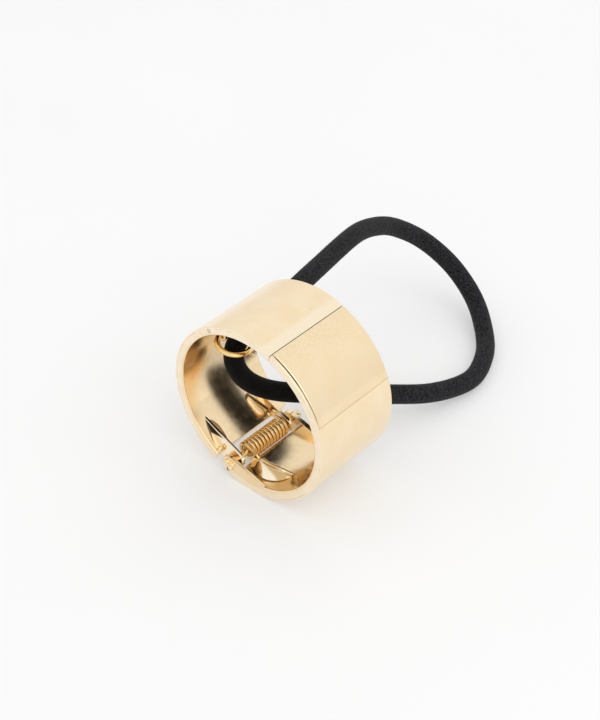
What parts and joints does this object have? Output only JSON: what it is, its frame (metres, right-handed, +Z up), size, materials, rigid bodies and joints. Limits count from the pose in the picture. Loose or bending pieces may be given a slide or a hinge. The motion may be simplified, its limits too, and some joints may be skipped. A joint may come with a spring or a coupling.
{
  "type": "hair tie",
  "caption": "Hinged metal ponytail cuff lying on its side, sprung shut round a hinge pin, with a round hair elastic looped through a small ring inside.",
  "frame": {"origin": "on the surface it lies on, under the middle of the cuff", "axes": "+Y along the cuff's bore from its front rim to its back rim, where the free loop of the elastic is; +Z up; +X towards the half that swings"},
  "size_m": [0.034, 0.0702, 0.034],
  "materials": {
    "cuff_metal": "polished pale gold plating",
    "plate_metal": "polished pale gold plating, slightly hazy",
    "pin_metal": "polished gold plating",
    "spring_metal": "gold plated spring wire",
    "ring_metal": "polished gold plating",
    "elastic_cord": "matte braided cover",
    "crimp_metal": "gold plated sleeve"
  },
  "bodies": {
    "fixed_half": {"left_half": "cuff_metal", "torsion_spring": "spring_metal", "elastic_ring": "ring_metal", "elastic": "elastic_cord", "crimp": "crimp_metal"},
    "swing_half": {"right_half": "cuff_metal", "cover_plate": "plate_metal", "hinge_pin": "pin_metal"}
  },
  "joints": [
    {"name": "hinge", "type": "hinge", "parent": "fixed_half", "child": "swing_half", "pos_m": [-0.00462, 0, 0.00304], "axis": [0, 1, 0], "range_deg": [0, 90], "stiffness_Nm_per_rad": 0.02, "springref_deg": -45.84, "deforming": ["torsion_spring"]}
  ]
}
